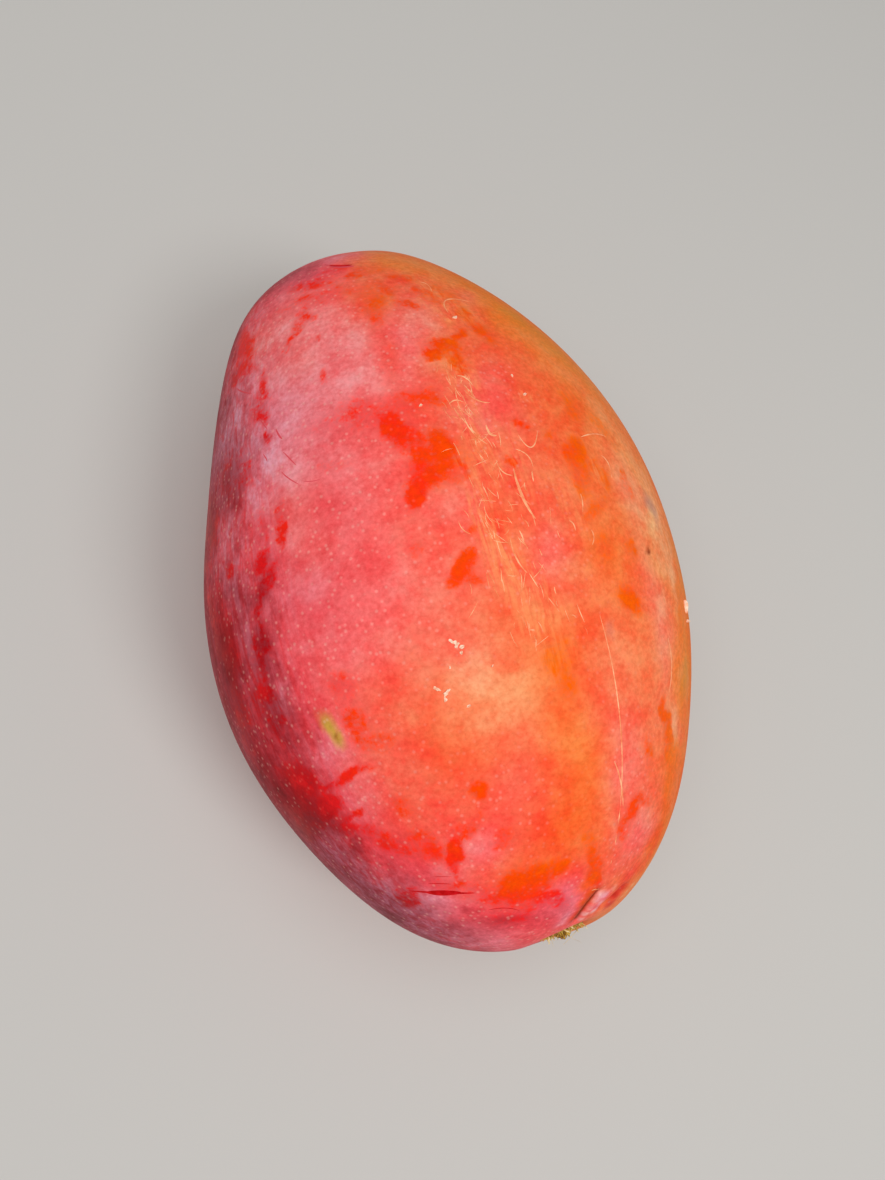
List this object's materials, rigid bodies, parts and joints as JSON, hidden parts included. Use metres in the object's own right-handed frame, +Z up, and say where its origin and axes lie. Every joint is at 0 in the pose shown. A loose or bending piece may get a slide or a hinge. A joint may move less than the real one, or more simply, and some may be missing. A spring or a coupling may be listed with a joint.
{
  "type": "mango",
  "caption": "Whole ripe mango lying on its cheek, an oval fruit with red to amber skin and a corky stalk scar at one end.",
  "frame": {"origin": "on the surface that the fruit lies on, under the middle of its outline as seen from above", "axes": "+Y along the fruit from the stalk end to the tip, +Z up through its cheeks, +X across it"},
  "size_m": [0.0883, 0.1344, 0.0776],
  "materials": {
    "mango_skin": "satin wax bloom over red to amber skin, glossier where rubbed",
    "stem_cork": "dry torn cork"
  },
  "bodies": {
    "root": {"fruit": "mango_skin", "stem_scar": "stem_cork"}
  },
  "joints": []
}
